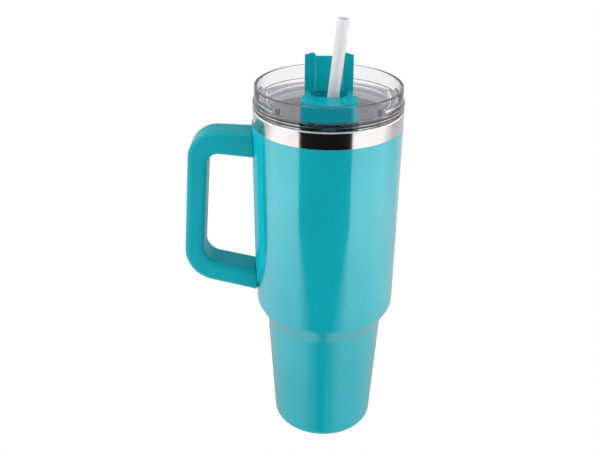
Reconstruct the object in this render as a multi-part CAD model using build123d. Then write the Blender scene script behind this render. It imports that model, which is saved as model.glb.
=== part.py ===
from build123d import *
import os
from math import atan2, cos, degrees, radians, sin, sqrt, tan

# Double-wall insulated bottle with a handle, a clear press-in lid, a flip cap and a straw.
# Millimetres. +Z up, the table at z = 0, the bottle's axis on Z.
# The handle points to -X and the drinking spout to -Y.

# ---- bottle body ----
BODY_R = 50.6            # upper body, outside
WAIST_R = 42.9           # top of the lower cone, outside
BASE_R = 38.1            # foot of the lower cone, outside
WAIST_Z = 92.9           # where the cone meets the shoulder
SHOULDER_TILT = 62.0     # degrees above level
SHOULDER_ROUND = 8.0
WAIST_ROUND = 14.0
FOOT_ROUND = 2.6
BODY_TOP = 256.5         # top of the steel lip
BAND_H = 11.4            # bare steel band under the lip
SHEET = 0.8              # sheet steel
VACUUM_GAP = 3.5         # between the two walls
FLOOR_Z = 7.0            # underside of the liner's floor
FLOOR_ROUND = 6.0
LIP_ROUND = 1.5
LIP_SEAM = 2.0           # the weld's distance in from the outside of the body
FOOT_LIP = 3.5           # width of the shell's turned-in foot
BASE_RECESS = 2.6        # depth of the base panel
PORT_R = 1.2             # evacuation hole
DIMPLE_R = 6.0
DIMPLE_RISE = 1.8
GETTER_R = 4.5
GETTER_H = 1.2

# ---- handle ----
BAR_W = 24.0             # across, along Y
BAR_ROUND = 4.5
BAR_TOP = 239.35         # upper arm's top at the body
BAR_BOTTOM = 116.4       # lower arm's underside at the body
ROOT_H = 17.3            # height of each arm at the body
GRIP_REACH = 48.7        # grip's outer face beyond the body, at the handle's middle
GRIP_T = 13.6            # grip's thickness
GRIP_LEAN = 0.09         # outward run of the grip for each millimetre down
TOP_RISE = 0.038         # rise of the upper arm's top for each millimetre out
ARM_TAPER = 0.102        # rise of the upper arm's underside
LOW_RISE = 0.246         # rise of the lower arm's underside
LOW_RISE_IN = 0.221      # rise of the lower arm's top
CORNER_TOP = 19.9        # outer corner rounds
CORNER_LOW = 24.2
WINDOW_TOP = 8.0         # finger gap's corner rounds
WINDOW_LOW = 12.2
BAR_WALL = 2.6
COVER_GAP = 0.1          # each side of the handle's inner cover
SEAM = 0.25              # dark line between the arms and the saddle

# ---- saddle plate behind the handle ----
SADDLE_T = 0.8
SADDLE_HALF = 28.8       # half width on the body
SADDLE_LAND = 25.0       # degrees each side before the bevel starts
SADDLE_DROP = 0.2        # its top under the bare steel band
SADDLE_END = 49.0        # height of its rounded lower corners
SADDLE_FLAT = 8.0        # half width of its level lower edge
SADDLE_BELOW = 1.1       # its lower edge under the lower arm
SADDLE_SEAT = 0.05       # paint clearance under the saddle

# ---- welded brackets, their screws and plugs ----
BRACKET_OUT = 16.0       # reach beyond the body
BRACKET_W = 12.0
BRACKET_H = 6.0
BRACKET_SLOT = 0.4       # saddle slot clearance all round
SCREW_AT = 9.4           # screw axis beyond the body
SCREW_R = 2.0
HEAD_R = 3.5
HEAD_H = 2.0
SCREW_FIT = 0.05
SEAT_T = 1.4             # plastic under the screw head
PLUG_T = 1.0
PLUG_FIT = 0.05

# ---- clear lid ----
RIM_INSET = 1.4          # rim's outside at the top, in from the body's outside
FLANGE_INSET = 0.2
FLANGE_H = 4.9
RIM_H = 15.4             # rim above the steel lip
RIM_T = 2.0
RIM_DRAFT = 0.3
DECK_TOP = 3.5           # deck above the steel lip
DECK_T = 2.2
DECK_ROUND = 1.6         # inside corner between deck and rim
SKIRT_GAP = 0.9          # skirt inside the steel mouth
SKIRT_T = 2.0
SKIRT_L = 10.5
GASKET_H = 4.0
GASKET_DEPTH = 1.4
GASKET_UP = 2.2          # groove above the skirt's foot
MOUTH_FIT = 0.3          # gasket lips to the steel
SHELF_W = 5.4            # width of the two side shelves
SHELF_H = 4.5
SHELF_FROM = 165.0       # degrees from +X; the other shelf is its mirror
SHELF_TO = 223.0

# ---- spout housing, flip cap and hinge ----
HOUSING_W = 35.0
CHEEK_T = 1.4
STRAW_GAP = 1.45         # straw to the raised part in front of it, at the deck
PAD_Z = 17.0             # side pads above the steel lip
CHANNEL_HALF = 8.6       # half width of the channel's floor
CHANNEL_D = 1.4
PAD_BACK = 6.0           # start of the cap's pad, from the hinge axis
HOUSING_WALL = 1.8
HOUSING_FLOOR = 1.7
WALL_GAP = 0.3           # housing to the clear wall, cap to the housing
HINGE_Y = 16.5           # hinge axis in front of the bottle's axis
HINGE_Z = 8.4            # above the steel lip
BARREL_R = 2.8
CHEEK_R = 3.6
PIN_R = 1.0
PIN_FIT = 0.05
CAP_T = 3.2
CAP_END_INSET = 1.2      # the closed cap's end follows the rim, this far in
CAP_OPEN = 12.0          # degrees past upright
CAP_HEEL = 2.0
LUG_W = 3.9
NOTCH_D = 2.2

# ---- straw and its hole ----
STRAW_R = 3.75
STRAW_BORE = 2.75
STRAW_FOOT = 10.6        # middle of its lower end above the table
STRAW_FOOT_IN = 11.35    # its axis at its foot, in from the bottle's foot
STRAW_FOOT_TURN = 204.47 # degrees from +X to its foot
STRAW_OUT = 60.2         # middle of its upper end above the lid's deck
STRAW_X = 1.34           # where its axis crosses the deck
HOLE_Y = 24.8            # drinking hole in front of the bottle's axis
HOLE_FIT = 2.15          # round the straw
SPIGOT_T = 1.4
SPIGOT_FIT = 0.2
SEAL_T = 1.0
SEAL_W = 2.8
NUT_H = 2.2
NUT_W = 3.4
PEG_R = 1.5

# ---- sizes that follow ----
INSET = SHEET + VACUUM_GAP                 # shell's outside to the liner's outside
MOUTH_R = BODY_R - INSET - SHEET           # inside of the steel mouth
DECK_Z = BODY_TOP + DECK_TOP
RIM_TOP = BODY_TOP + RIM_H
RIM_R = BODY_R - RIM_INSET
FLANGE_R = BODY_R - FLANGE_INSET
RIM_IN = RIM_R - RIM_T - RIM_DRAFT         # rim's inside at the deck
SHELF_IN = RIM_IN - SHELF_W
SKIRT_R = MOUTH_R - SKIRT_GAP
SKIRT_FOOT = BODY_TOP - SKIRT_L
SADDLE_TOP = BODY_TOP - BAND_H - SADDLE_DROP
SADDLE_R = BODY_R + SADDLE_SEAT + SADDLE_T
ROOT_R = SADDLE_R + SEAM
GRIP_OUT = BODY_R + GRIP_REACH
HINGE = Vector(0, -HINGE_Y, BODY_TOP + HINGE_Z)
PAD_TOP = BODY_TOP + PAD_Z
CHANNEL_Z = PAD_TOP - CHANNEL_D
FLOOR_TOP = DECK_Z + HOUSING_FLOOR
CHEEK_IN = HOUSING_W / 2 - CHEEK_T
CAP_HALF = CHEEK_IN - WALL_GAP
CAP_END_R = RIM_R - CAP_END_INSET
HOUSING_BACK = HOLE_Y + STRAW_R + STRAW_GAP
HOLE_R = STRAW_R + HOLE_FIT
SPIGOT_R = HOLE_R + SPIGOT_T
SPIGOT_FOOT = DECK_Z - DECK_T - SEAL_T - NUT_H - 0.3


def outline(corners):
    """Closed face in the XZ plane through corners (x, z, round)."""
    points = [Vector(x, 0, z) for x, z, _ in corners]
    joints = []
    for k, (_, _, r) in enumerate(corners):
        before, here, after = points[k - 1], points[k], points[(k + 1) % len(points)]
        if not r:
            joints.append((here, None, here))
            continue
        back, on = (before - here).normalized(), (after - here).normalized()
        half = radians(back.get_angle(on) / 2)
        middle = here + (back + on).normalized() * (r / sin(half) - r)
        joints.append((here + back * (r / tan(half)), middle, here + on * (r / tan(half))))
    edges = []
    for k, (start, middle, end) in enumerate(joints):
        if middle is not None:
            edges.append(ThreePointArc(start, middle, end))
        following = joints[(k + 1) % len(joints)][0]
        if (following - end).length > 1e-4:
            edges.append(Line(end, following))
    return Face(Wire(edges))


def turned(corners):
    """Solid of revolution about Z."""
    return revolve(outline(corners), Axis.Z)


def shifted(line, distance):
    """Open line of corners moved to its left, mitred, its rounds kept concentric."""
    moved = []
    for k, (x, z, r) in enumerate(line):
        ways = []
        for a, b in ((k - 1, k), (k, k + 1)):
            if a >= 0 and b < len(line):
                run, rise = line[b][0] - line[a][0], line[b][1] - line[a][1]
                ways.append((run / sqrt(run * run + rise * rise), rise / sqrt(run * run + rise * rise)))
        first, last = ways[0], ways[-1]
        scale = distance / (1 + first[0] * last[0] + first[1] * last[1])
        turn = first[0] * last[1] - first[1] * last[0]
        grown = r - distance if turn > 0 else r + distance
        moved.append((x - (first[1] + last[1]) * scale, z + (first[0] + last[0]) * scale, grown if r else 0))
    return moved


def sheet(line, thickness):
    """Turned sheet whose face is the given line and whose body lies to its left."""
    return turned(line + shifted(line, thickness)[::-1])


def ring(inner, outer, low, high):
    """Plain turned ring."""
    return turned([(inner, low, 0), (outer, low, 0), (outer, high, 0), (inner, high, 0)])


def block(x0, x1, y0, y1, z0, z1):
    """Box between two corners."""
    return Pos((x0 + x1) / 2, (y0 + y1) / 2, (z0 + z1) / 2) * Box(x1 - x0, y1 - y0, z1 - z0)


def post(x, y, radius, low, high):
    """Upright round post."""
    return Pos(x, y, (low + high) / 2) * Cylinder(radius, high - low)


def body_line():
    """Outside of the body from the table to the lip: cone, shoulder, cylinder."""
    shoulder_z = WAIST_Z + (BODY_R - WAIST_R) * tan(radians(SHOULDER_TILT))
    return [(BASE_R, 0, FOOT_ROUND), (WAIST_R, WAIST_Z, WAIST_ROUND),
            (BODY_R, shoulder_z, SHOULDER_ROUND), (BODY_R, BODY_TOP, LIP_ROUND)]


def outer_shell():
    """Painted outer wall with a turned-in foot and lip."""
    foot = [(BASE_R - FOOT_LIP, 0, 0)]
    lip = [(BODY_R - LIP_SEAM, BODY_TOP, 0)]
    return sheet(foot + body_line() + lip, SHEET)


def inner_liner():
    """Bare steel inner wall: floor, cone, shoulder, mouth and folded-out lip."""
    inside = shifted(body_line(), INSET + SHEET)
    (x0, z0, _), (x1, z1, _) = inside[0], inside[1]
    floor = FLOOR_Z + SHEET
    corner = (x0 + (x1 - x0) * (floor - z0) / (z1 - z0), floor, FLOOR_ROUND)
    lip = [(MOUTH_R, BODY_TOP, LIP_ROUND + SHEET), (BODY_R - LIP_SEAM, BODY_TOP, 0)]
    line = [(0, floor, 0), corner] + inside[1:3] + lip
    return sheet(line, -SHEET)


def outer_base():
    """Recessed base panel welded onto the shell's foot, with an evacuation dimple."""
    edge, top = BASE_R - FOOT_ROUND - 0.1, BASE_RECESS
    line = [(PORT_R, top + DIMPLE_RISE, 0), (DIMPLE_R, top + DIMPLE_RISE, 1.5), (DIMPLE_R + 1.5, top, 1.5),
            (BASE_R - FOOT_LIP - 3, top, 1.5), (BASE_R - FOOT_LIP - 1.5, SHEET, 1.5), (edge, SHEET, 0)]
    return sheet(line, SHEET)


def port_seal():
    """Solder bead that closes the evacuation hole from below."""
    top = BASE_RECESS + DIMPLE_RISE
    return turned([(0, top - 1.3, 0), (2.6, top - 1.3, 1.0), (3.4, top, 0), (0, top, 0)])


def getter():
    """Gas-absorbing pill under the liner's floor."""
    return post(0.45 * BASE_R, 0, GETTER_R, FLOOR_Z - GETTER_H, FLOOR_Z)


def bar_lines():
    """Outer and finger-gap lines of the handle in the XZ plane, from the upper root down."""
    middle = (BAR_TOP + BAR_BOTTOM) / 2
    root = BODY_R - 8

    def meet(level, slope, face):
        run = (face - GRIP_LEAN * (level - slope * BODY_R - middle)) / (1 + GRIP_LEAN * slope)
        return run, level + slope * (run - BODY_R)

    top, low = BAR_TOP - ROOT_H, BAR_BOTTOM + ROOT_H
    face_in = GRIP_OUT - GRIP_T
    a, b = meet(BAR_TOP, TOP_RISE, GRIP_OUT), meet(BAR_BOTTOM, LOW_RISE, GRIP_OUT)
    c, d = meet(top, ARM_TAPER, face_in), meet(low, LOW_RISE_IN, face_in)
    outer = [(-root, BAR_TOP - TOP_RISE * 8, 0), (-a[0], a[1], CORNER_TOP), (-b[0], b[1], CORNER_LOW),
             (-root, BAR_BOTTOM - LOW_RISE * 8, 0)]
    window = [(-root, top - ARM_TAPER * 8, 0), (-c[0], c[1], WINDOW_TOP), (-d[0], d[1], WINDOW_LOW),
              (-root, low - LOW_RISE_IN * 8, 0)]
    return outer, window


def bar_solid():
    """Whole handle with rounded edges, cut to the saddle's face."""
    outer, window = bar_lines()
    bar = extrude(outline(outer + window[::-1]), BAR_W / 2, both=True)
    ends = bar.faces().sort_by(Axis.Y)
    rims = [e for face in (ends[0], ends[-1]) for e in face.edges() if e.center().X < -(BODY_R - 7.5)]
    return fillet(rims, BAR_ROUND) - post(0, 0, ROOT_R, 0, BODY_TOP)


def bar_cavity():
    """Hollow of the handle, open on the finger-gap side."""
    outer, window = bar_lines()
    wall, gap = shifted(outer, BAR_WALL), shifted(window, 0.5)
    reach = BAR_W / 2 - BAR_WALL - BAR_ROUND / 2
    return extrude(outline(wall + gap[::-1]), reach, both=True)


def cover_solid():
    """Strip that fills the handle's open side flush with the finger-gap line."""
    _, window = bar_lines()
    back = shifted(window, -BAR_WALL)
    reach = BAR_W / 2 - BAR_WALL - BAR_ROUND / 2 - COVER_GAP
    return extrude(outline(window + back[::-1]), reach, both=True) - post(0, 0, ROOT_R, 0, BODY_TOP)


def screw_levels():
    """For each arm: its outside level at the screw and the middle level of its bracket."""
    at = SCREW_AT
    upper, top = BAR_TOP - ROOT_H + ARM_TAPER * at, BAR_TOP + TOP_RISE * at
    lower, inner = BAR_BOTTOM + LOW_RISE * at, BAR_BOTTOM + ROOT_H + LOW_RISE_IN * at
    return (upper, (top + upper) / 2), (lower, (lower + inner) / 2)


def screw_column(outside, centre, bore):
    """Hollow boss from an arm's outside up to its bracket, and the holes through it."""
    x = -(BODY_R + SCREW_AT)
    seat_top = centre - BRACKET_H / 2
    boss = post(x, 0, HEAD_R + BAR_WALL - 0.6, outside + 1.2, seat_top)
    holes = post(x, 0, SCREW_R + 0.3, outside - 5, seat_top + 1)
    holes += post(x, 0, bore, outside - 5, seat_top - SEAT_T)
    return boss, holes


def handle_shell():
    """Handle moulding: a channel open towards the fingers, with the lower screw boss."""
    shell = bar_solid() - bar_cavity()
    outside, centre = screw_levels()[1]
    boss, holes = screw_column(outside, centre, HEAD_R + PLUG_FIT)
    return shell + boss - holes


def handle_cover():
    """Inner cover of the handle, with the upper screw boss."""
    outside, centre = screw_levels()[0]
    boss, holes = screw_column(outside, centre, HEAD_R + PLUG_FIT)
    return cover_solid() + boss - holes


def handle_saddle():
    """Thin bevelled plate between the arms and the body, slotted for the brackets."""
    edge_x = sqrt(BODY_R**2 - SADDLE_HALF**2)
    land = radians(SADDLE_LAND)
    bevel = atan2(SADDLE_HALF - SADDLE_R * sin(land), SADDLE_R * cos(land) - edge_x)
    foot = BAR_BOTTOM - SADDLE_BELOW - (BODY_R - edge_x) * tan(bevel)
    high, centre = SADDLE_TOP + 20, foot + SADDLE_END
    half, flat = SADDLE_HALF, SADDLE_FLAT
    corner = half - flat
    tongue = make_face([Line((-half, high), (-half, centre)),
                        EllipticalCenterArc((-flat, centre), corner, SADDLE_END, start_angle=180, arc_size=90),
                        Line((-flat, foot), (flat, foot)),
                        EllipticalCenterArc((flat, centre), corner, SADDLE_END, start_angle=270, arc_size=90),
                        Line((half, centre), (half, high)), Line((half, high), (-half, high))])
    plane = Plane(origin=(-edge_x, 0, 0), x_dir=(0, -1, 0), z_dir=(-1, 0, 0))
    prism = extrude(plane * tongue, 12, taper=degrees(bevel))
    plate = ring(BODY_R + SADDLE_SEAT, SADDLE_R, BAR_BOTTOM - 2, SADDLE_TOP) & prism
    for _, level in screw_levels():
        grown = BRACKET_SLOT
        plate -= block(-BODY_R - 20, -BODY_R + 9, -BRACKET_W / 2 - grown, BRACKET_W / 2 + grown,
                       level - BRACKET_H / 2 - grown, level + BRACKET_H / 2 + grown)
    return plate


def bracket(level):
    """Steel tab welded to the shell, tapped from below for the handle's screw."""
    tab = block(-BODY_R - BRACKET_OUT, -BODY_R + 9, -BRACKET_W / 2, BRACKET_W / 2,
                level - BRACKET_H / 2, level + BRACKET_H / 2) - post(0, 0, BODY_R, 0, BODY_TOP)
    tab = chamfer(tab.faces().sort_by(Axis.X)[0].edges(), 1.0)
    return tab - post(-(BODY_R + SCREW_AT), 0, SCREW_R + SCREW_FIT, level - 20, level + 20)


def bracket_upper():
    return bracket(screw_levels()[0][1])


def bracket_lower():
    return bracket(screw_levels()[1][1])


def handle_screws():
    """One pan-head screw up into each bracket, with a cross slot."""
    x, screws = -(BODY_R + SCREW_AT), []
    for _, level in screw_levels():
        seat = level - BRACKET_H / 2 - SEAT_T
        screw = post(x, 0, SCREW_R, seat, level + BRACKET_H / 2 - 0.5) + post(x, 0, HEAD_R - 0.2, seat - HEAD_H, seat)
        for run, across in ((1.8, 0.4), (0.4, 1.8)):
            screw -= block(x - run, x + run, -across, across, seat - HEAD_H - 1, seat - HEAD_H + 1.1)
        screws.append(screw)
    return Compound(children=screws)


def screw_plugs():
    """One round plug in each screw hole, under the screw head."""
    x, plugs = -(BODY_R + SCREW_AT), []
    for _, level in screw_levels():
        top = level - BRACKET_H / 2 - SEAT_T - HEAD_H
        plug = post(x, 0, HEAD_R, top - PLUG_T, top)
        plugs.append(chamfer(plug.edges().sort_by(Axis.Z)[0], 0.3))
    return Compound(children=plugs)


def lid_shelves():
    """Two raised side shelves inside the rim."""
    wedge = None
    for start in (SHELF_FROM, 180 - SHELF_TO):
        sector = Plane.XY * make_face([Line((0, 0), (60 * cos(radians(start)), 60 * sin(radians(start)))),
                                       CenterArc((0, 0), 60, start, SHELF_TO - SHELF_FROM),
                                       Line((60 * cos(radians(start + SHELF_TO - SHELF_FROM)),
                                             60 * sin(radians(start + SHELF_TO - SHELF_FROM))), (0, 0))])
        piece = Pos(0, 0, DECK_Z - 1) * extrude(sector, SHELF_H + 2)
        wedge = piece if wedge is None else wedge + piece
    profile = turned([(SHELF_IN, DECK_Z - 0.5, 0), (RIM_IN + 0.8, DECK_Z - 0.5, 0),
                      (RIM_IN + 0.8, DECK_Z + SHELF_H, 0), (SHELF_IN, DECK_Z + SHELF_H, 0.8)])
    return profile & wedge


def lid_body():
    """Clear moulding: flange, rim wall, sunk deck and plug skirt with its groove."""
    groove = SKIRT_FOOT + GASKET_UP
    flange = BODY_TOP + FLANGE_H
    profile = [(0, DECK_Z - DECK_T, 0), (SKIRT_R - SKIRT_T, DECK_Z - DECK_T, 1), (SKIRT_R - SKIRT_T, SKIRT_FOOT, 0.4),
               (SKIRT_R, SKIRT_FOOT, 0.6), (SKIRT_R, groove, 0), (SKIRT_R - GASKET_DEPTH, groove, 0),
               (SKIRT_R - GASKET_DEPTH, groove + GASKET_H, 0), (SKIRT_R, groove + GASKET_H, 0),
               (SKIRT_R, BODY_TOP, 0), (FLANGE_R, BODY_TOP, 0.5), (FLANGE_R, flange, 0.8),
               (RIM_R + RIM_DRAFT, flange + 0.4, 0.3), (RIM_R, RIM_TOP, 0.9), (RIM_R - RIM_T, RIM_TOP, 0.9),
               (RIM_IN, DECK_Z, DECK_ROUND), (0, DECK_Z, 0)]
    lid = turned(profile) + lid_shelves()
    lid -= post(0, -HOLE_Y, SPIGOT_R + SPIGOT_FIT, SKIRT_FOOT, RIM_TOP)
    for x, y in peg_spots():
        lid -= post(x, y, PEG_R + SPIGOT_FIT, SKIRT_FOOT, RIM_TOP)
    return lid


def lid_gasket():
    """Silicone ring in the skirt's groove with two lips towards the steel mouth."""
    foot, root = SKIRT_FOOT + GASKET_UP, SKIRT_R - GASKET_DEPTH
    high, lip = foot + GASKET_H, MOUTH_R - MOUTH_FIT
    return turned([(root, foot, 0), (SKIRT_R - 0.1, foot, 0), (lip, foot + 0.9, 0.2), (lip, foot + 1.4, 0.2),
                   (SKIRT_R - 0.1, foot + 1.7, 0.2), (SKIRT_R - 0.1, foot + 2.1, 0.2), (lip, foot + 2.8, 0.2),
                   (lip, foot + 3.3, 0.2), (SKIRT_R - 0.1, high, 0), (root, high, 0)])


def peg_spots():
    """Two pegs that stop the housing turning on its spigot."""
    return [(side * (HOUSING_W / 2 - 5.5), -(HOUSING_BACK + 7)) for side in (-1, 1)]


def channel(low, high, inset):
    """Trapezium bar along Y: the lip's channel, or the cap's pad that fits it."""
    floor, wide = CHANNEL_HALF - inset, CHANNEL_HALF - inset + CHANNEL_D
    face = outline([(-floor, CHANNEL_Z, 0), (floor, CHANNEL_Z, 0), (wide, PAD_TOP, 0), (wide, PAD_TOP + 4, 0),
                    (-wide, PAD_TOP + 4, 0), (-wide, PAD_TOP, 0)])
    return Pos(0, -low, 0) * extrude(face, high - low)


def housing_plan(reach, side):
    """Plan of the spout housing: straight sides and back, front following the clear wall."""
    front = sqrt(reach**2 - side**2)
    return make_face([Line((-side, -HOUSING_BACK), (side, -HOUSING_BACK)), Line((side, -HOUSING_BACK), (side, -front)),
                      ThreePointArc((side, -front), (0, -reach), (-side, -front)),
                      Line((-side, -front), (-side, -HOUSING_BACK))])


def spout_block():
    """Coloured housing: raised lip with a channel, floor with the drinking hole, hinge cheeks."""
    half, reach = HOUSING_W / 2, RIM_IN - WALL_GAP
    raised = Pos(0, 0, DECK_Z) * extrude(housing_plan(reach, half), PAD_TOP - DECK_Z)
    raised = chamfer(raised.faces().sort_by(Axis.Z)[0].edges().sort_by(Axis.Y)[0], DECK_ROUND)
    raised = fillet(raised.faces().sort_by(Axis.Z)[-1].edges(), 0.6)
    raised -= channel(HOUSING_BACK - 5, reach + 5, 0)
    hollow = Pos(0, -HOUSING_WALL, DECK_Z) * extrude(
        housing_plan(reach - 2 * HOUSING_WALL, half - HOUSING_WALL), CHANNEL_Z - DECK_Z - HOUSING_WALL)
    raised -= hollow
    back = HINGE_Y - CHEEK_R
    floor = block(-half, half, -HOUSING_BACK, -back, DECK_Z, FLOOR_TOP)
    cheeks = None
    for side in (-1, 1):
        face = outline([(-HOUSING_BACK, DECK_Z, 0), (-back, DECK_Z, 0), (-back, HINGE.Z + CHEEK_R, CHEEK_R - 0.2),
                        (-HINGE_Y - 3, HINGE.Z + CHEEK_R, 4), (-HOUSING_BACK, PAD_TOP - 2, 0)])
        turned_face = Rot(0, 0, 90) * face
        wall = Pos(side * (half - CHEEK_T / 2), 0, 0) * extrude(turned_face, CHEEK_T / 2, both=True)
        cheeks = wall if cheeks is None else cheeks + wall
    spigot = post(0, -HOLE_Y, SPIGOT_R, SPIGOT_FOOT, DECK_Z + 0.5)
    housing = raised + floor + cheeks + spigot
    for x, y in peg_spots():
        housing += post(x, y, PEG_R, DECK_Z - DECK_T, CHANNEL_Z - 1)
    housing -= post(0, -HOLE_Y, HOLE_R, SPIGOT_FOOT - 1, FLOOR_TOP + 0.01)
    return housing - pin_rod(PIN_R, HOUSING_W + 2)


def pin_rod(radius, length):
    """Round rod on the hinge axis."""
    return Pos(HINGE.X, HINGE.Y, HINGE.Z) * (Rot(0, 90, 0) * Cylinder(radius, length))


def hinge_pin():
    """Steel hinge pin, its ends just under the cheeks' outer faces."""
    return pin_rod(PIN_R, HOUSING_W - 0.4)


def spout_seal():
    """Silicone washer under the deck around the spigot."""
    top = DECK_Z - DECK_T
    return (post(0, -HOLE_Y, SPIGOT_R + SEAL_W, top - SEAL_T, top)
            - post(0, -HOLE_Y, SPIGOT_R + SPIGOT_FIT, top - SEAL_T - 1, top + 1))


def spout_nut():
    """Ring nut that holds the housing down from below, with four wrench notches."""
    top = DECK_Z - DECK_T - SEAL_T
    nut = post(0, -HOLE_Y, SPIGOT_R + NUT_W, top - NUT_H, top)
    for run, across in ((SPIGOT_R + NUT_W + 1, 1.3), (1.3, SPIGOT_R + NUT_W + 1)):
        nut -= block(-run, run, -HOLE_Y - across, -HOLE_Y + across, top - NUT_H - 1, top - NUT_H + 1)
    return nut - post(0, -HOLE_Y, SPIGOT_R + SCREW_FIT, top - NUT_H - 1, top + 1)


def cap_outline():
    """Plan of the closed cap: straight sides, end along the rim, finger notch."""
    half, heel = CAP_HALF, -(HINGE_Y - CAP_HEEL)
    tip = -sqrt(CAP_END_R**2 - half**2)
    mouth = CHANNEL_HALF + CHANNEL_D
    mouth_y = -sqrt(CAP_END_R**2 - mouth**2)
    mid = (half + mouth) / 2
    mid_y = -sqrt(CAP_END_R**2 - mid**2)
    floor_y = mouth_y + NOTCH_D
    edges = [Line((-half, heel), (half, heel)), Line((half, heel), (half, tip)),
             ThreePointArc((half, tip), (mid, mid_y), (mouth, mouth_y)),
             Line((mouth, mouth_y), (CHANNEL_HALF, floor_y)), Line((CHANNEL_HALF, floor_y), (-CHANNEL_HALF, floor_y)),
             Line((-CHANNEL_HALF, floor_y), (-mouth, mouth_y)),
             ThreePointArc((-mouth, mouth_y), (-mid, mid_y), (-half, tip)), Line((-half, tip), (-half, heel))]
    return make_face(edges)


def cap_lug(side):
    """Curved lug that joins the cap's plate to its hinge barrel."""
    under = PAD_TOP + WALL_GAP
    y0 = -HINGE_Y
    face = outline([(y0 + CAP_HEEL, HINGE.Z, 0), (y0 + CAP_HEEL, under + 1, 0), (y0 - 9.5, under + 1, 0),
                    (y0 - 9.5, under - 0.01, 0), (y0 - BARREL_R + 0.3, under - 0.01, 4.5),
                    (y0 - BARREL_R + 0.3, HINGE.Z, 0)])
    x = side * (CAP_HALF - LUG_W / 2)
    return Pos(x, 0, 0) * extrude(Rot(0, 0, 90) * face, LUG_W / 2, both=True)


def flip_cap():
    """Flip cap standing open: plate with a finger notch and a pad, lugs and hinge barrel."""
    under = PAD_TOP + WALL_GAP
    plate = Pos(0, 0, under) * extrude(cap_outline(), CAP_T)
    plate = fillet(plate.faces().sort_by(Axis.Z)[-1].edges(), 0.8)
    tip = sqrt(CAP_END_R**2 - (CHANNEL_HALF + CHANNEL_D)**2) - NOTCH_D
    pad = Pos(0, 0, WALL_GAP) * channel(HINGE_Y + PAD_BACK, tip, WALL_GAP)
    pad &= block(-40, 40, -60, 0, 0, under + 0.5)
    cap = plate + pad + cap_lug(-1) + cap_lug(1) + pin_rod(BARREL_R, 2 * CAP_HALF)
    cap -= pin_rod(PIN_R + PIN_FIT, 2 * CAP_HALF + 2)
    return cap.rotate(Axis(HINGE, (1, 0, 0)), -90 - CAP_OPEN)


def straw():
    """Straight tube leaning in the drinking hole down to the liner's floor."""
    away, turn = BASE_R - STRAW_FOOT_IN, radians(STRAW_FOOT_TURN)
    foot = Vector(away * cos(turn), away * sin(turn), STRAW_FOOT)
    lean = (Vector(STRAW_X, -HOLE_Y, DECK_Z) - foot) / (DECK_Z - STRAW_FOOT)
    length = lean.length * (DECK_Z + STRAW_OUT - STRAW_FOOT)
    tube = Cylinder(STRAW_R, length, align=(Align.CENTER, Align.CENTER, Align.MIN))
    tube -= Cylinder(STRAW_BORE, length, align=(Align.CENTER, Align.CENTER, Align.MIN))
    return Plane(origin=foot, z_dir=lean) * fillet(tube.edges().filter_by(GeomType.CIRCLE), 0.3)


PARTS = {
    "outer_shell": outer_shell, "inner_liner": inner_liner, "outer_base": outer_base,
    "port_seal": port_seal, "getter": getter, "bracket_upper": bracket_upper,
    "bracket_lower": bracket_lower, "handle_saddle": handle_saddle, "handle_shell": handle_shell,
    "handle_cover": handle_cover, "handle_screws": handle_screws, "screw_plugs": screw_plugs,
    "lid_body": lid_body, "lid_gasket": lid_gasket, "spout_block": spout_block,
    "spout_seal": spout_seal, "spout_nut": spout_nut, "flip_cap": flip_cap,
    "hinge_pin": hinge_pin, "straw": straw,
}

os.makedirs("parts", exist_ok=True)
for name, make in PARTS.items():
    export_step(make(), f"parts/{name}.step")
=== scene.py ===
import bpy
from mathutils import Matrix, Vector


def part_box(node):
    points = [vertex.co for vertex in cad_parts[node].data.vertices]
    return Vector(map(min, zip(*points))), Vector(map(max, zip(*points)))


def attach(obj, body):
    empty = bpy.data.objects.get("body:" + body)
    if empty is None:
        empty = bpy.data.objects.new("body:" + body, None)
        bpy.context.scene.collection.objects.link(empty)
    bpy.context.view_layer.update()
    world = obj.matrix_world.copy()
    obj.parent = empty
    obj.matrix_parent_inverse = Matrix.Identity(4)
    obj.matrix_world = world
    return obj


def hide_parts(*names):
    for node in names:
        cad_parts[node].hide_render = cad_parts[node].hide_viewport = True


bl_info = {
    "name": "Insulated bottle finish",
    "version": (1, 0, 0),
    "blender": (4, 5, 0),
    "location": "3D View > Sidebar > Bottle",
    "description": "Builds the visible surfaces and finishes of an insulated bottle around its fixed frame",
    "category": "Add Mesh",
}

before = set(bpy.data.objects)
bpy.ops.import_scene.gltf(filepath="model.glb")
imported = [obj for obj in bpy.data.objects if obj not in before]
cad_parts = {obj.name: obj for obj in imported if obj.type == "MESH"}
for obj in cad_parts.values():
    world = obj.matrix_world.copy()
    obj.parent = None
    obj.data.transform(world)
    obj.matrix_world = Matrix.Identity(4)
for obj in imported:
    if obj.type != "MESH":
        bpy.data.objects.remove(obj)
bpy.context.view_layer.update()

import bmesh
import bpy
import numpy as np
from bpy.props import FloatProperty, FloatVectorProperty, IntProperty, StringProperty

MM = 0.001
SHELL_LOW, SHELL_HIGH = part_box("outer_shell")
LID_LOW, LID_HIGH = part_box("lid_body")
GASKET_LOW, GASKET_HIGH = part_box("lid_gasket")
# widths of what the materials draw
FLAKE = 0.55 * MM            # mica flakes; real ones are about 0.1 mm, too fine to show
PEEL = 1.2 * MM              # orange peel of the powder coat
FILM_CHANGE = 40 * MM        # slow change of the coat's thickness
TURNING = 0.4 * MM           # polishing rings of the steel
SMEAR = 18 * MM              # slow change of the steel's tint
PLASTIC_CHANGE = 25 * MM     # slow change of the plastic's colour
SPARK, FINE_SPARK = 0.7 * MM, 0.5 * MM     # moulded texture, on the glossy and on the satin pieces
HAZE = 9 * MM                # faint haze of the clear plastic
STREAK = 0.8 * MM            # lines along the straw
DUST = 0.6 * MM              # dust on the silicone
CRYSTAL = 0.5 * MM           # grain of the solder
# points on each round of the wall
WALL_TURNS = 10
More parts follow.
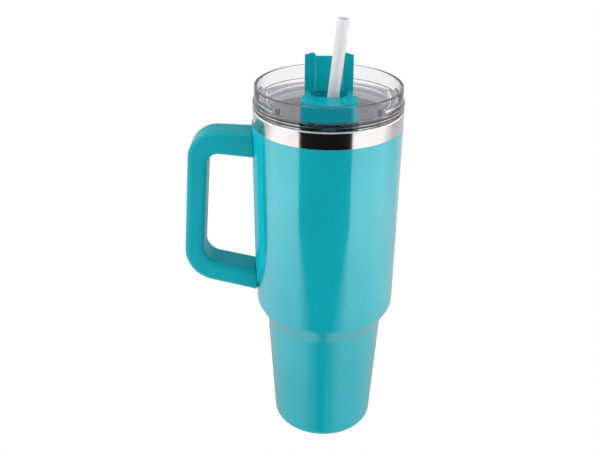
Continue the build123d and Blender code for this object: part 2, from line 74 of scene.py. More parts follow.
# the lid's hidden sizes, and how finely it is drawn
SKIRT_INSET, BORE_INSET = 0.5 * MM, 2.5 * MM    # skirt's outside and inside, in from the gasket's outside
GROOVE_DEPTH = 1.4 * MM                         # gasket's groove
SHELF_ROUND = 0.8 * MM                          # inner edge of the shelves
SHELF_SLOPE = 0.012                             # radians that a shelf's end rises over: about 0.5 mm
CROWD_SPAN, CROWD_COUNT = 0.025, 25             # radians each side of a shelf's end, and columns there
LID_COLUMNS, LID_TURNS, DECK_ROWS = 360, 6, 14
# in metres from the axis and behind it: where the floor goes from dim to bright and from bright to dim
NEAR_SPAN, BEHIND_SPAN = (0.05, 0.42), (-0.02, 0.25)
# the dark card, in metres: where it starts, its lift off the floor, its top, and its rows' reach
CARD_FOOT, CARD_LIFT, CARD_TOP = 0.0395, 0.002, 1.3
CARD_REACH, CARD_COLUMNS = (0.0, 0.1, 0.3, 1.4, 1.5), 33
# how soft its sides are, as a share of its half width, at two distances from the axis
SOFT_SPAN, SOFT_SHARE = (0.08, 0.4), (0.9, 0.04)
# overhead lamp, in metres: its sides and its place
LAMP_SIDES, LAMP_PLACE = (1.2, 1.0), (0.0, 0.1, 1.5)


# ------------------------------------------------------------------ shapes

def rounded(corners, turns=8, hold=0.25 * MM):
    """Line through corners (a, b, round). A round is the circular arc tangent to both runs at its
    corner, cut into equal turns, with one more point on each run, hold away, so that flats stay flat
    when shaded."""
    places = np.array([corner[:2] for corner in corners], float)
    line = []
    for k, (place, (_, _, radius)) in enumerate(zip(places, corners)):
        if not radius:
            line.append(place[None])
            continue
        back, on = places[k - 1] - place, places[(k + 1) % len(places)] - place
        back, on = back / np.linalg.norm(back), on / np.linalg.norm(on)
        half = np.arccos(np.clip(back @ on, -1, 1)) / 2
        middle = place + (back + on) / np.linalg.norm(back + on) * radius / np.sin(half)
        start = place + back * radius / np.tan(half)
        end = place + on * radius / np.tan(half)
        angle = np.linspace(0, 1, turns + 1)[:, None]
        sweep = np.pi - 2 * half
        arc = middle + ((start - middle) * np.sin((1 - angle) * sweep)
                        + (end - middle) * np.sin(angle * sweep)) / np.sin(sweep)
        line.append(np.vstack([start + back * hold, arc, end + on * hold]))
    return np.vstack(line)


def smooth_mesh(name, points, close_rows, close_columns, material):
    """Object whose faces join each grid point to its neighbours; close_rows and close_columns join the
    last line of points to the first. Doubles are merged and all faces turned outwards."""
    rows, columns = points.shape[:2]
    index = np.arange(rows * columns).reshape(rows, columns)
    if close_rows:
        index = np.vstack([index, index[:1]])
    if close_columns:
        index = np.hstack([index, index[:, :1]])
    quads = np.stack([index[:-1, :-1], index[:-1, 1:], index[1:, 1:], index[1:, :-1]], -1).reshape(-1, 4)
    mesh = bpy.data.meshes.new(name)
    mesh.from_pydata(points.reshape(-1, 3), [], quads)
    tidy = bmesh.new()
    tidy.from_mesh(mesh)
    bmesh.ops.remove_doubles(tidy, verts=tidy.verts, dist=1e-7)
    bmesh.ops.recalc_face_normals(tidy, faces=tidy.faces)
    tidy.to_mesh(mesh)
    tidy.free()
    mesh.shade_smooth()
    piece = bpy.data.objects.new(name, mesh)
    bpy.context.scene.collection.objects.link(piece)
    mesh.materials.append(material)
    return piece


def turned(name, profile, segments, material):
    """Solid of revolution: the point (r, z) of the closed profile goes to (r cos t, r sin t, z), for t
    once round."""
    t = np.linspace(0, 2 * np.pi, segments, endpoint=False)
    r, z = profile[:, :1], profile[:, 1:]
    points = np.stack([r * np.cos(t), r * np.sin(t), z + 0 * t], -1)
    return smooth_mesh(name, points, True, True, material)


def inward(line, distance):
    """A line of (r, z) points moved to its left by the distance, each along the mean normal of its two
    runs, with the mitre held to twice the distance."""
    run = np.diff(line, axis=0)
    run /= np.linalg.norm(run, axis=1)[:, None]
    before, after = np.vstack([run[:1], run]), np.vstack([run, run[-1:]])
    mean = before + after
    mean /= np.linalg.norm(mean, axis=1)[:, None]
    mitre = np.maximum((mean * after).sum(1), 0.5)[:, None]
    return line + np.column_stack([-mean[:, 1], mean[:, 0]]) * distance / mitre


# --------------------------------------------------------------- materials

def linear(code):
    """Linear RGBA from an sRGB hex code."""
    s = np.array([int(code[k:k + 2], 16) for k in (1, 3, 5)]) / 255
    return (*np.where(s <= 0.04045, s / 12.92, ((s + 0.055) / 1.055) ** 2.4), 1.0)


def add(tree, kind, settings=None, values=None):
    """Adds one node to the tree, with its settings, and its inputs given as values or linked to
    sockets: by name or number, or all in order from the first."""
    node = tree.nodes.new(kind)
    for key, value in (settings or {}).items():
        setattr(node, key, value)
    given = values if isinstance(values, dict) else dict(enumerate(values or ()))
    for key, value in given.items():
        if isinstance(value, bpy.types.NodeSocket):
            tree.links.new(value, node.inputs[key])
        else:
            node.inputs[key].default_value = value
    return node


def material(name):
    """Empty node material with its output node and its Object coordinates."""
    made = bpy.data.materials.new(name)
    made.use_nodes = True
    made.node_tree.nodes.clear()
    output = add(made.node_tree, "ShaderNodeOutputMaterial")
    place = add(made.node_tree, "ShaderNodeTexCoord").outputs["Object"]
    return made, made.node_tree, output, place


# A Map Range node's inputs are the value, the span that it comes from and the span that it goes to.
# A Mix node takes its share at 0, two numbers at 2 and 3, and two colours at 6 and 7.

def pearl_powder_coat(look):
    """Pearl powder coat, sprayed dry and baked: a deep colour with a tinted, slightly metallic sheen
    from mica flakes, a fine orange peel, a fine bump on the flakes, and a painted glint: a lighter
    flake colour mixed into the base colour on random flakes, for single flakes that face the light."""
    made, tree, output, place = material("pearl_powder_coat")
    flakes = add(tree, "ShaderNodeTexVoronoi", {"feature": "F1"}, {"Vector": place, "Scale": 1 / FLAKE})
    draw = add(tree, "ShaderNodeSeparateColor", None, {"Color": flakes.outputs["Color"]}).outputs
    peel = add(tree, "ShaderNodeTexNoise", None, {"Vector": place, "Scale": 1 / PEEL, "Detail": 2.0})
    cloud = add(tree, "ShaderNodeTexNoise", None,
                {"Vector": place, "Scale": 1 / FILM_CHANGE, "Detail": 1.0})
    thin = add(tree, "ShaderNodeMapRange", None, (cloud.outputs["Fac"], 0.35, 0.65, 0, 1))
    base = add(tree, "ShaderNodeMix", {"data_type": "RGBA"},
               {0: thin.outputs[0], 6: linear(look.paint_dark), 7: linear(look.paint)})
    # painted glint: random flakes are mixed towards a lighter flake colour, standing in for flakes that
    # face the light
    painted_glint = add(tree, "ShaderNodeMapRange", None, (draw["Red"], 0.55, 1.0, 0.0, look.painted_glint))
    colour = add(tree, "ShaderNodeMix", {"data_type": "RGBA"},
                 {0: painted_glint.outputs[0], 6: base.outputs[2], 7: linear(look.flake)})
    rough = add(tree, "ShaderNodeMapRange", None, (draw["Green"], 0.0, 1.0, 0.22, 0.34))
    bump = add(tree, "ShaderNodeBump", None,
               {"Height": peel.outputs["Fac"], "Strength": 0.2, "Distance": 0.03 * MM})
    sparkle = add(tree, "ShaderNodeBump", None,
                  {"Height": draw["Blue"], "Strength": 0.15, "Distance": 0.03 * MM,
                   "Normal": bump.outputs["Normal"]})
    shader = add(tree, "ShaderNodeBsdfPrincipled", None, {
        "Base Color": colour.outputs[2], "Metallic": 0.2, "Roughness": rough.outputs[0], "IOR": 1.5,
        "Specular IOR Level": 0.12, "Coat Weight": 1.0, "Coat Roughness": 0.08, "Coat IOR": 1.8,
        "Normal": sparkle.outputs["Normal"], "Coat Normal": bump.outputs["Normal"]})
    tree.links.new(shader.outputs[0], output.inputs["Surface"])
    return made


def turned_steel(name, code, ring_depth, low, high):
    """Stainless steel polished on a lathe: bright grey with fine rings round the axis, which follow the
    height and are broken up slowly along the way round, and a slow change of tint."""
    made, tree, output, place = material(name)
    squeezed = add(tree, "ShaderNodeMapping", None, {"Vector": place, "Scale": (0.03, 0.03, 1.0)})
    rings = add(tree, "ShaderNodeTexNoise", None,
                {"Vector": squeezed.outputs["Vector"], "Scale": 1 / TURNING, "Detail": 3.0})
    smear = add(tree, "ShaderNodeTexNoise", None, {"Vector": place, "Scale": 1 / SMEAR, "Detail": 2.0})
    rough = add(tree, "ShaderNodeMapRange", None, (rings.outputs["Fac"], 0.3, 0.7, low, high))
    share = add(tree, "ShaderNodeMapRange", None, (smear.outputs["Fac"], 0.35, 0.65, 0, 1))
    tint = add(tree, "ShaderNodeMix", {"data_type": "RGBA"},
               {0: share.outputs[0], 6: linear(code), 7: linear("#CFCBC9")})
    bump = add(tree, "ShaderNodeBump", None,
               {"Height": rings.outputs["Fac"], "Strength": 0.2, "Distance": ring_depth})
    shader = add(tree, "ShaderNodeBsdfPrincipled", None, {
        "Base Color": tint.outputs[2], "Metallic": 1.0, "Roughness": rough.outputs[0],
        "Normal": bump.outputs["Normal"]})
    tree.links.new(shader.outputs[0], output.inputs["Surface"])
    return made


def moulded_plastic(name, code, dark, low, high, texture):
    """Polypropylene moulded in a spark-textured tool: even colour, satin gloss, a very fine grain."""
    made, tree, output, place = material(name)
    spark = add(tree, "ShaderNodeTexNoise", None,
                {"Vector": place, "Scale": 1 / texture, "Detail": 3.0, "Roughness": 0.6})
    cloud = add(tree, "ShaderNodeTexNoise", None,
                {"Vector": place, "Scale": 1 / PLASTIC_CHANGE, "Detail": 2.0})
    share = add(tree, "ShaderNodeMapRange", None, (cloud.outputs["Fac"], 0.3, 0.7, 0, 1))
    colour = add(tree, "ShaderNodeMix", {"data_type": "RGBA"},
                 {0: share.outputs[0], 6: linear(code), 7: linear(dark)})
    rough = add(tree, "ShaderNodeMapRange", None, (spark.outputs["Fac"], 0.3, 0.7, low, high))
    bump = add(tree, "ShaderNodeBump", None,
               {"Height": spark.outputs["Fac"], "Strength": 0.25, "Distance": 0.03 * MM})
    shader = add(tree, "ShaderNodeBsdfPrincipled", None, {
        "Base Color": colour.outputs[2], "Roughness": rough.outputs[0], "IOR": 1.49,
        "Specular IOR Level": 0.16, "Normal": bump.outputs["Normal"]})
    tree.links.new(shader.outputs[0], output.inputs["Surface"])
    return made


def clear_copolyester(name):
    """Clear copolyester, moulded in a polished tool: water-clear with bright edges and a faint cool
    tint. Shadows and soft light go straight through it."""
    made, tree, output, place = material(name)
    haze = add(tree, "ShaderNodeTexNoise", None, {"Vector": place, "Scale": 1 / HAZE, "Detail": 2.0})
    rough = add(tree, "ShaderNodeMapRange", None, (haze.outputs["Fac"], 0.4, 0.7, 0.0, 0.05))
    glass = add(tree, "ShaderNodeBsdfPrincipled", None, {
        "Base Color": linear("#F7F7FA"), "Roughness": rough.outputs[0], "IOR": 1.54,
        "Transmission Weight": 1.0})
    through = add(tree, "ShaderNodeBsdfTransparent", None, {"Color": linear("#EDEFF0")})
    path = add(tree, "ShaderNodeLightPath").outputs
    soft_light = add(tree, "ShaderNodeMath", {"operation": "MAXIMUM"},
                     (path["Is Shadow Ray"], path["Is Diffuse Ray"]))
    shader = add(tree, "ShaderNodeMixShader", None,
                 (soft_light.outputs[0], glass.outputs[0], through.outputs[0]))
    tree.links.new(shader.outputs[0], output.inputs["Surface"])
    return made


def frosted_straw(name):
    """Extruded polypropylene tube: milky, half see-through, with faint lines along its length."""
    made, tree, output, place = material(name)
    drawn = add(tree, "ShaderNodeMapping", None, {"Vector": place, "Scale": (1, 1, 0.02)})
    streak = add(tree, "ShaderNodeTexNoise", None,
                 {"Vector": drawn.outputs["Vector"], "Scale": 1 / STREAK, "Detail": 2.0})
    rough = add(tree, "ShaderNodeMapRange", None, (streak.outputs["Fac"], 0.3, 0.7, 0.28, 0.42))
    shader = add(tree, "ShaderNodeBsdfPrincipled", None, {
        "Base Color": linear("#F4F3F7"), "Roughness": rough.outputs[0], "IOR": 1.49,
        "Transmission Weight": 0.3, "Subsurface Weight": 0.3, "Subsurface Radius": (1.0, 1.0, 1.0),
        "Subsurface Scale": 2 * MM})
    tree.links.new(shader.outputs[0], output.inputs["Surface"])
    return made


def soft_silicone(name):
    """Cast silicone rubber: milky and matt, with light scattered inside it."""
    made, tree, output, place = material(name)
    dust = add(tree, "ShaderNodeTexNoise", None, {"Vector": place, "Scale": 1 / DUST, "Detail": 2.0})
    rough = add(tree, "ShaderNodeMapRange", None, (dust.outputs["Fac"], 0.3, 0.7, 0.45, 0.65))
    shader = add(tree, "ShaderNodeBsdfPrincipled", None, {
        "Base Color": linear("#D5D8DA"), "Roughness": rough.outputs[0], "IOR": 1.41,
        "Transmission Weight": 0.15, "Subsurface Weight": 0.5, "Subsurface Radius": (1.0, 1.0, 1.0),
        "Subsurface Scale": 1.5 * MM})
    tree.links.new(shader.outputs[0], output.inputs["Surface"])
    return made


def dull_solder(name):
    """Solder set in air: soft grey metal with a grainy, slightly oxidised skin."""
    made, tree, output, place = material(name)
    crystals = add(tree, "ShaderNodeTexNoise", None,
                   {"Vector": place, "Scale": 1 / CRYSTAL, "Detail": 4.0}).outputs["Fac"]
    rough = add(tree, "ShaderNodeMapRange", None, (crystals, 0.3, 0.7, 0.35, 0.6))
    bump = add(tree, "ShaderNodeBump", None,
               {"Height": crystals, "Strength": 0.4, "Distance": 0.08 * MM})
    shader = add(tree, "ShaderNodeBsdfPrincipled", None, {
        "Base Color": linear("#9A9A9C"), "Metallic": 1.0, "Roughness": rough.outputs[0],
        "Normal": bump.outputs["Normal"]})
    tree.links.new(shader.outputs[0], output.inputs["Surface"])
    return made


def finish_nodes(made, *names):
    """Gives CAD nodes a material, in the slots that they have."""
    for name in names:
        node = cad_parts[name]
        if not node.material_slots:
            node.data.materials.append(made)
        for entry in node.material_slots:
            entry.material = made


# ---------------------------------------------------------------- settings

class BottleWall(bpy.types.PropertyGroup):
    """Sizes of the painted steel body."""
    radius: FloatProperty(name="Body radius", description="Outside of the upper body",
                          default=SHELL_HIGH.x, unit="LENGTH")
    height: FloatProperty(name="Height", description="Top of the steel lip", default=SHELL_HIGH.z,
                          unit="LENGTH")
    waist_radius: FloatProperty(name="Waist radius", description="Top of the lower cone",
                                default=42.9 * MM, unit="LENGTH")
    foot_radius: FloatProperty(name="Foot radius", description="Foot of the lower cone",
                               default=38.1 * MM, unit="LENGTH")
    foot_width: FloatProperty(name="Foot width", description="Foot's bevel, inward", default=3.5 * MM,
                              unit="LENGTH")
    foot_height: FloatProperty(name="Foot height", description="Foot's bevel, upward", default=2.6 * MM,
                               unit="LENGTH")
    waist_height: FloatProperty(name="Waist height", description="Where the cone meets the shoulder",
                                default=92.9 * MM, unit="LENGTH")
    waist_round: FloatProperty(name="Waist round", description="Round between cone and shoulder",
                               default=14 * MM, unit="LENGTH")
    shoulder_round: FloatProperty(name="Shoulder round", description="Round between shoulder and body",
                                  default=8 * MM, unit="LENGTH")
    shoulder_tilt: FloatProperty(name="Shoulder tilt", description="Shoulder's rise above level",
                                 default=np.radians(62), unit="ROTATION")
    lip_round: FloatProperty(name="Lip round", description="Round of the steel lip", default=1.5 * MM,
                             unit="LENGTH")
    lip_width: FloatProperty(name="Lip width", description="Lip, inward from the outside", default=2 * MM,
                             unit="LENGTH")
    sheet: FloatProperty(name="Sheet", description="Thickness of the steel", default=0.8 * MM,
                         unit="LENGTH")
    film: FloatProperty(name="Film", description="Thickness of the powder coat", default=0.1 * MM,
                        unit="LENGTH")
    film_round: FloatProperty(name="Film round", description="Round of the powder coat's upper edge",
                              default=0.08 * MM, unit="LENGTH")
    band: FloatProperty(name="Bare band", description="Height of the uncoated steel at the mouth",
                        default=11.4 * MM, unit="LENGTH")
    segments: IntProperty(name="Segments", description="Faces once round", default=256, min=64, max=512)


class ClearLid(bpy.types.PropertyGroup):
    """Sizes of the clear lid."""
    deck: FloatProperty(name="Deck above the lip", description="Top of the sunk deck", default=3.5 * MM,
                        unit="LENGTH")
    deck_wall: FloatProperty(name="Deck wall", description="Thickness of the deck", default=2.2 * MM,
                             unit="LENGTH")
    rim_wall: FloatProperty(name="Rim wall", description="Thickness of the rim", default=2.0 * MM,
                            unit="LENGTH")
    rim_inset: FloatProperty(name="Rim inset", description="Rim's outside, in from the flange",
                             default=1.2 * MM, unit="LENGTH")
    draft: FloatProperty(name="Draft", description="Growth of the rim towards its foot", default=0.3 * MM,
                         unit="LENGTH")
    flange: FloatProperty(name="Flange", description="Height of the flange", default=4.9 * MM,
                          unit="LENGTH")
    hole_place: FloatProperty(name="Hole place", description="Spigot hole in front of the axis",
                              default=24.8 * MM, unit="LENGTH")
    hole_radius: FloatProperty(name="Hole radius", description="Spigot hole", default=7.5 * MM,
                               unit="LENGTH")
    shelf: FloatProperty(name="Shelf height", description="Side shelves above the deck", default=4.5 * MM,
                         unit="LENGTH")
    shelf_width: FloatProperty(name="Shelf width", description="Side shelves, inward from the rim",
                               default=5.4 * MM, unit="LENGTH")
    shelf_span: FloatVectorProperty(name="Shelf span", description="Where the left shelf starts and ends",
                                    size=2, default=tuple(np.radians((165, 223))), unit="ROTATION")


class BottleLook(bpy.types.PropertyGroup):
    """Colours as sRGB hex codes, among them a painted glint colour and a lighter, painted-light copy of the
    plastic for the saddle, and the painted glint's share.
    """
    paint: StringProperty(name="Paint", description="Powder coat", default="#00AFBC")
    paint_dark: StringProperty(name="Paint, thick film", description="Powder coat where the film is thick",
                               default="#00A9B6")
    # the flake colour is a painted glint: a lighter teal mixed into the coat's base colour on random
    # flakes, up to the share below
    flake: StringProperty(name="Flake", description="Mica flakes that face the light", default="#00C4D6")
    painted_glint: FloatProperty(name="Glint", description="Share of the flake's colour, at most", default=0.22)
    plastic: StringProperty(name="Plastic", description="Handle, cap and housing", default="#009DAA")
    plastic_dark: StringProperty(name="Plastic, shaded", description="Slow change in the plastic's colour",
                                 default="#0097A4")
    # the saddle's colours are a lighter copy of the handle's plastic: painted light, for the bright floor
    # that the saddle faces
    saddle: StringProperty(name="Saddle", description="Plate behind the handle", default="#00B4C3")
    saddle_dark: StringProperty(name="Saddle, shaded", description="Slow change in the saddle's colour",
                                default="#00AEBD")


class BottleStage(bpy.types.PropertyGroup):
    """Camera and light."""
    camera_place: FloatVectorProperty(name="Camera place", description="Where the camera stands",
                                      unit="LENGTH", default=(-8.27 * MM, -473.57 * MM, 417.77 * MM))
    camera_turn: FloatVectorProperty(name="Camera turn", description="XYZ turns of the camera",
                                     unit="ROTATION", default=tuple(np.radians((62.024, -0.158, 1.338))))
    lens: FloatProperty(name="Lens", description="Focal length in millimetres on a 36 mm frame",
                        default=44.4)
    floor_size: FloatProperty(name="Floor", description="Side of the floor", default=8.0, unit="LENGTH")
    floor_light: FloatProperty(name="Floor light", description="Radiance of the lit floor", default=1.35)
    floor_near: FloatProperty(name="Floor at the foot", default=0.3,
                              description="Share of the floor's light at the foot, in reflections")
    floor_behind: FloatProperty(name="Floor behind", default=0.5,
                                description="Share of the floor's light behind, in reflections")
    card_turn: FloatProperty(name="Card turn", description="Turn of the card's far end about the axis",
                             unit="ROTATION", default=np.radians(-4.2))
    card_half: FloatProperty(name="Card start", description="Degrees each side of its middle at the foot",
                             default=20.3)
    card_spread: FloatProperty(name="Card spread", default=40.6,
                               description="Degrees each side of its middle that its edges run out at")
    sky_front: FloatProperty(name="Sky in front", description="Radiance in front and behind", default=0.35)
    sky_side: FloatProperty(name="Sky aside", description="Radiance of the side soft boxes", default=1.5)
    sky_top: FloatProperty(name="Sky overhead", description="Radiance added overhead", default=0.5)
    lamp: FloatProperty(name="Lamp", description="Overhead lamp in watts", default=3)


# ------------------------------------------------------------------- stage

def lit_floor(setup):
    """Lit acrylic floor, z = 0: white where looked at; in reflections it dims towards the foot and behind
    the bottle."""
    side = np.array([-0.5, 0.5]) * setup.floor_size
    x, y = np.meshgrid(side, side, indexing="ij")
    made, tree, output, place = material("lit_white_acrylic")
    path = add(tree, "ShaderNodeLightPath").outputs
    away = add(tree, "ShaderNodeVectorMath", {"operation": "LENGTH"}, {0: place}).outputs["Value"]
    behind = add(tree, "ShaderNodeSeparateXYZ", None, {"Vector": place}).outputs["Y"]
    near = add(tree, "ShaderNodeMapRange", None, (away, *NEAR_SPAN, setup.floor_near, 1.0))
    far = add(tree, "ShaderNodeMapRange", None,
              (behind, *BEHIND_SPAN, setup.floor_light, setup.floor_behind * setup.floor_light))
    dimmed = add(tree, "ShaderNodeMath", {"operation": "MULTIPLY"}, (near.outputs[0], far.outputs[0]))
    seen = add(tree, "ShaderNodeMath", {"operation": "MAXIMUM"},
               (path["Is Camera Ray"], path["Is Transmission Ray"]))
    mirrored = add(tree, "ShaderNodeMix", {"data_type": "FLOAT"},
                   {0: path["Is Glossy Ray"], 2: setup.floor_light, 3: dimmed.outputs[0]})
    strength = add(tree, "ShaderNodeMix", {"data_type": "FLOAT"},
                   {0: seen.outputs[0], 2: mirrored.outputs[0], 3: 1.0})
    glow = add(tree, "ShaderNodeEmission", None, {"Strength": strength.outputs[0]})
    tree.links.new(glow.outputs[0], output.inputs["Surface"])
    made.cycles.emission_sampling = "NONE"
    return smooth_mesh("floor", np.stack([x, y, 0 * x], -1), False, False, made)


def dark_card(setup):
    """Dark card in front, on the floor and then upright, seen in reflections and through the clear lid.
    Each column starts at the foot at its own angle and runs out at another, the way that the wall's edge
    of darkness mirrors the camera's sight. The sides are soft near the foot."""
    made, tree, output, place = material("black_card")
    across = add(tree, "ShaderNodeAttribute", {"attribute_name": "from_edge"}).outputs["Fac"]
    away = add(tree, "ShaderNodeVectorMath", {"operation": "LENGTH"}, {0: place}).outputs["Value"]
    soft = add(tree, "ShaderNodeMapRange", None, (away, *SOFT_SPAN, *SOFT_SHARE))
    opaque = add(tree, "ShaderNodeMath", {"operation": "DIVIDE", "use_clamp": True},
                 (across, soft.outputs[0]))
    dark = add(tree, "ShaderNodeBsdfDiffuse", None, {"Color": (0.01, 0.009, 0.009, 1)})
    clear = add(tree, "ShaderNodeBsdfTransparent")
    shader = add(tree, "ShaderNodeMixShader", None,
                 (opaque.outputs[0], clear.outputs[0], dark.outputs[0]))
    tree.links.new(shader.outputs[0], output.inputs["Surface"])
    column = np.linspace(-1, 1, CARD_COLUMNS)
    start = np.radians(column * setup.card_half) + 0.5 * setup.card_turn - np.pi / 2
    out = np.radians(column * setup.card_spread) + setup.card_turn - np.pi / 2
    reach = np.array(CARD_REACH)[:, None]
    rise = np.array([CARD_LIFT] * 4 + [CARD_TOP])[:, None]      # the last row stands up
    points = np.stack([CARD_FOOT * np.cos(start) + reach * np.cos(out),
                       CARD_FOOT * np.sin(start) + reach * np.sin(out), rise + 0 * out], -1)
    card = smooth_mesh("black_card", points, False, False, made)
    edge = card.data.attributes.new("from_edge", "FLOAT", "POINT")
    edge.data.foreach_set("value", np.tile(1 - np.abs(column), len(reach)))
    card.visible_camera = False
    card.visible_shadow = False
    card.visible_diffuse = False
    return card


def studio(setup):
    """Sky with soft boxes left, right and overhead, dim in front and behind; white where looked at."""
    world = bpy.data.worlds.new("studio")
    world.use_nodes = True
    tree = world.node_tree
    sight = add(tree, "ShaderNodeTexCoord").outputs["Generated"]
    part = add(tree, "ShaderNodeSeparateXYZ", None, {"Vector": sight}).outputs
    aside = add(tree, "ShaderNodeMath", {"operation": "ABSOLUTE"}, (part["X"],))
    boxes = add(tree, "ShaderNodeMapRange", None,
                (aside.outputs[0], 0.3, 0.8, setup.sky_front, setup.sky_side))
    above = add(tree, "ShaderNodeMapRange", None, (part["Z"], 0.2, 1.0, 0.0, setup.sky_top))
    light = add(tree, "ShaderNodeMath", {"operation": "ADD"}, (boxes.outputs[0], above.outputs[0]))
    path = add(tree, "ShaderNodeLightPath").outputs
    seen = add(tree, "ShaderNodeMath", {"operation": "MAXIMUM"},
               (path["Is Camera Ray"], path["Is Transmission Ray"]))
    strength = add(tree, "ShaderNodeMix", {"data_type": "FLOAT"},
                   {0: seen.outputs[0], 2: light.outputs[0], 3: 1.0})
    back = tree.nodes["Background"]
    back.inputs["Color"].default_value = (1.0, 1.0, 1.0, 1)
    tree.links.new(strength.outputs[0], back.inputs["Strength"])
    world.cycles.sampling_method = "NONE"
    return world


def place_lamp(scene, setup):
    """Overhead soft box, faint, level and a little behind the bottle."""
    lamp = bpy.data.lights.new("overhead_softbox", "AREA")
    lamp.shape, lamp.energy = "RECTANGLE", setup.lamp
    lamp.size, lamp.size_y = LAMP_SIDES
    hung = bpy.data.objects.new("overhead_softbox", lamp)
    hung.location = LAMP_PLACE
    scene.collection.objects.link(hung)


def place_camera(scene, setup):
    """The camera, on a frame 36 mm wide."""
    view = bpy.data.cameras.new("camera")
    view.lens, view.sensor_width, view.clip_start = setup.lens, 36.0, 0.01
    camera = bpy.data.objects.new("camera", view)
    camera.location, camera.rotation_euler = setup.camera_place, setup.camera_turn
    scene.collection.objects.link(camera)
    scene.camera = camera


# --------------------------------------------------------------- operators

class BuildWall(bpy.types.Operator):
    """Build the steel wall with its bare band and the powder coat over it"""
    bl_idname = "bottle.build_wall"
    bl_label = "Steel wall and powder coat"

    def execute(self, context):
        wall, look = context.scene.bottle_wall, context.scene.bottle_look
        shoulder = wall.waist_height + (wall.radius - wall.waist_radius) * np.tan(wall.shoulder_tilt)
        body = [(wall.foot_radius - wall.foot_width, 0, 0), (wall.foot_radius, 0, wall.foot_height),
                (wall.waist_radius, wall.waist_height, wall.waist_round),
                (wall.radius, shoulder, wall.shoulder_round)]
        lip = [(wall.radius, wall.height, wall.lip_round), (wall.radius - wall.lip_width, wall.height, 0)]
        outside = inward(rounded(body + lip, WALL_TURNS), wall.film)
        outside[outside[:, 1] > wall.height - wall.film, 1] = wall.height
        inside = inward(outside, wall.sheet - wall.film)
        steel = turned("steel_wall", np.vstack([outside, inside[::-1]]), wall.segments,
                       turned_steel("polished_steel", "#DEDAD8", 0.01 * MM, 0.07, 0.14))
        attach(steel, "cup")
        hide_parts("outer_shell")
        # the coat's underside stays a tenth of its film clear of the steel
        edge, deep = wall.height - wall.band, 0.9 * wall.film
        skin = rounded(body + [(wall.radius, edge, wall.film_round), (wall.radius - deep, edge, 0)],
                       WALL_TURNS, 0.05 * MM)
        under = inward(skin[:-1], deep)
        under[:, 1] = np.minimum(under[:, 1], edge)
        coat = turned("powder_coat", np.vstack([skin, under[::-1]]), wall.segments,
                      pearl_powder_coat(look))
        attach(coat, "cup")
        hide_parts("outer_shell")
        return {"FINISHED"}


class BuildLid(bpy.types.Operator):
    """Build the clear lid: deck with its hole, side shelves, rim, flange and grooved skirt"""
    bl_idname = "bottle.build_lid"
    bl_label = "Clear lid"

    def execute(self, context):
        lid, lip = context.scene.clear_lid, SHELL_HIGH.z
        made = clear_copolyester("clear_copolyester")
        rim = LID_HIGH.x - lid.rim_inset
        rim_in, deck = rim - lid.rim_wall - lid.draft, lip + lid.deck
        skirt, bore = GASKET_HIGH.x - SKIRT_INSET, GASKET_HIGH.x - BORE_INSET
        groove = skirt - GROOVE_DEPTH
        shelf_in, low = rim_in - lid.shelf_width, deck - lid.deck_wall
        # half profile from the deck's edge round to its underside; the third value is the round
        outside = rounded([
            (shelf_in + 2 * MM, deck, 0), (rim_in, deck, 1.6 * MM),
            (rim - lid.rim_wall, LID_HIGH.z, 0.9 * MM), (rim, LID_HIGH.z, 0.9 * MM),
            (rim + lid.draft, lip + lid.flange + 0.4 * MM, 0.3 * MM),
            (LID_HIGH.x, lip + lid.flange, 0.8 * MM), (LID_HIGH.x, lip, 0.5 * MM), (skirt, lip, 0.3 * MM),
            (skirt, GASKET_HIGH.z, 0.15 * MM), (groove, GASKET_HIGH.z, 0.15 * MM),
            (groove, GASKET_LOW.z, 0.15 * MM), (skirt, GASKET_LOW.z, 0.15 * MM),
            (skirt, LID_LOW.z, 0.6 * MM), (bore, LID_LOW.z, 0.4 * MM), (bore, low, 1.0 * MM),
            (shelf_in - 2 * MM, low, 0)], LID_TURNS, 0.1 * MM)
        # columns: even round the lid, and crowded where a shelf starts or ends
        first, last = lid.shelf_span
        ends = np.array([first, last, np.pi - first, np.pi - last])
        crowd = (ends[:, None] + np.linspace(-CROWD_SPAN, CROWD_SPAN, CROWD_COUNT)).ravel()
        even = np.linspace(0, 2 * np.pi, LID_COLUMNS, endpoint=False)
        t = np.unique(np.concatenate([even, crowd % (2 * np.pi)]))
        # a shelf's height: full between its ends, and a hair over the deck elsewhere
        centre, reach = (first + last) / 2, (last - first) / 2
        mirrored = np.abs((np.pi - t - centre + np.pi) % (2 * np.pi) - np.pi)
        off = np.minimum(np.abs((t - centre + np.pi) % (2 * np.pi) - np.pi), mirrored)
        rise = lid.shelf * np.clip((reach - off) / SHELF_SLOPE + 0.5, 0, 1) + 0.01 * MM

        def circle(radius, height, lift=0.0):
            """(radius cos t, radius sin t, height), higher by the lift's share of the shelf."""
            return np.stack([radius * np.cos(t), radius * np.sin(t), height + lift * rise], -1)

        def blend(inner, outer, steps):
            """Closed curves on the straight lines from the inner curve's points to the outer's."""
            s = np.linspace(0, 1, steps)[:, None, None]
            return (1 - s) * inner + s * outer

        hole = np.array([0.0, -lid.hole_place, 0.0])
        # a shelf's inner edge: a little draft at its foot, an upright wall, then the round on to its top
        shelf_rows = [circle(shelf_in - 0.1 * MM, deck), circle(shelf_in, deck, 0.06)]
        shelf_rows += [circle(shelf_in + SHELF_ROUND * (1 - np.cos(a)), deck, 0.82 + 0.18 * np.sin(a))
                       for a in np.linspace(0, np.pi / 2, 6)]
        lifted = LID_TURNS + 4    # the deck's last point and the round into the rim rise with the shelf
        outer_rows = [circle(r, z, float(k < lifted)) for k, (r, z) in enumerate(outside)]
        top = blend(circle(lid.hole_radius, deck) + hole, circle(shelf_in - 1.5 * MM, deck), DECK_ROWS)
        under = blend(circle(shelf_in - 2.2 * MM, low), circle(lid.hole_radius, low) + hole, DECK_ROWS)
        points = np.concatenate([top, shelf_rows, outer_rows, under])
        piece = smooth_mesh("clear_lid", points, True, True, made)
        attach(piece, "lid")
        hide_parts("lid_body")
        return {"FINISHED"}


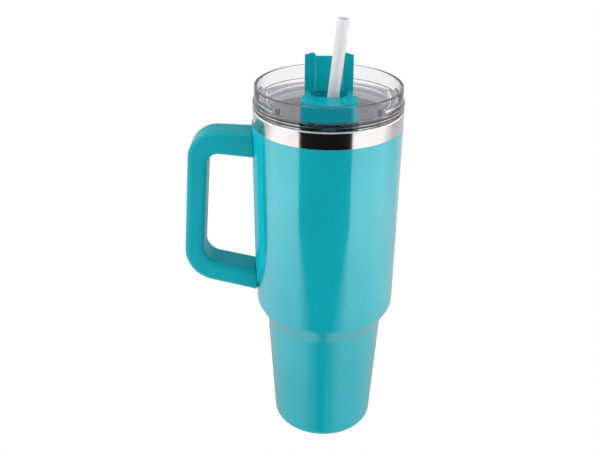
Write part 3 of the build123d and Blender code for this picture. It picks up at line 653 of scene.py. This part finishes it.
class FinishSteel(bpy.types.Operator):
    """Finish the liner, the base panel, the brackets, the screws, the pin, the solder and the getter"""
    bl_idname = "bottle.finish_steel"
    bl_label = "Steel parts"

    def execute(self, context):
        finish_nodes(turned_steel("spun_steel", "#BDBAB8", 0.02 * MM, 0.2, 0.34),
                     "inner_liner", "outer_base")
        finish_nodes(turned_steel("bright_steel", "#CFCDCB", 0.01 * MM, 0.12, 0.2),
                     "bracket_upper", "bracket_lower", "handle_screws", "hinge_pin")
        finish_nodes(dull_solder("dull_solder"), "port_seal", "getter")
        return {"FINISHED"}


class FinishHandle(bpy.types.Operator):
    """Finish the handle, its cover, the saddle and the plugs"""
    bl_idname = "bottle.finish_handle"
    bl_label = "Handle"

    def execute(self, context):
        look = context.scene.bottle_look
        plastic = moulded_plastic("moulded_polypropylene", look.plastic, look.plastic_dark, 0.24, 0.34,
                                  FINE_SPARK)
        finish_nodes(plastic, "handle_shell", "handle_cover", "screw_plugs")
        # the saddle gets a lighter copy of the handle's plastic: painted light, for the bright floor that
        # it faces
        bright = moulded_plastic("painted_lit_polypropylene", look.saddle, look.saddle_dark, 0.2, 0.3,
                                 FINE_SPARK)
        finish_nodes(bright, "handle_saddle")
        return {"FINISHED"}


class FinishLid(bpy.types.Operator):
    """Finish the housing, the cap, the seals and the straw"""
    bl_idname = "bottle.finish_lid"
    bl_label = "Lid and straw"

    def execute(self, context):
        look = context.scene.bottle_look
        glossy = moulded_plastic("polished_polypropylene", look.plastic, look.plastic_dark, 0.2, 0.32,
                                 SPARK)
        finish_nodes(glossy, "spout_block", "flip_cap", "spout_nut")
        finish_nodes(soft_silicone("soft_silicone"), "lid_gasket", "spout_seal")
        finish_nodes(frosted_straw("frosted_polypropylene"), "straw")
        return {"FINISHED"}


class SetStage(bpy.types.Operator):
    """Set the floor, the dark card, the lights, the sky and the camera"""
    bl_idname = "bottle.set_stage"
    bl_label = "Stage"

    def execute(self, context):
        scene, setup = context.scene, context.scene.bottle_stage
        floor = lit_floor(setup)
        card = dark_card(setup)
        scene.world = studio(setup)
        scene.view_settings.view_transform = "Standard"
        place_lamp(scene, setup)
        place_camera(scene, setup)
        return {"FINISHED"}


OPERATORS = (BuildWall, BuildLid, FinishSteel, FinishHandle, FinishLid, SetStage)
GROUPS = {"bottle_wall": BottleWall, "clear_lid": ClearLid, "bottle_look": BottleLook,
          "bottle_stage": BottleStage}


class BottlePanel(bpy.types.Panel):
    """Lists the bottle's settings and steps"""
    bl_idname = "VIEW3D_PT_bottle"
    bl_label = "Insulated bottle"
    bl_space_type = "VIEW_3D"
    bl_region_type = "UI"
    bl_category = "Bottle"

    def draw(self, context):
        for name, group in GROUPS.items():
            for key in group.__annotations__:
                self.layout.prop(getattr(context.scene, name), key)
        for step in OPERATORS:
            self.layout.operator(step.bl_idname)


def register():
    for kind in (*GROUPS.values(), *OPERATORS, BottlePanel):
        bpy.utils.register_class(kind)
    for name, group in GROUPS.items():
        setattr(bpy.types.Scene, name, bpy.props.PointerProperty(type=group))


def unregister():
    for name in GROUPS:
        delattr(bpy.types.Scene, name)
    for kind in (BottlePanel, *reversed(OPERATORS), *GROUPS.values()):
        bpy.utils.unregister_class(kind)


def main():
    register()
    for step in OPERATORS:
        group, call = step.bl_idname.split(".")
        getattr(getattr(bpy.ops, group), call)()


if __name__ == "__main__":
    main()
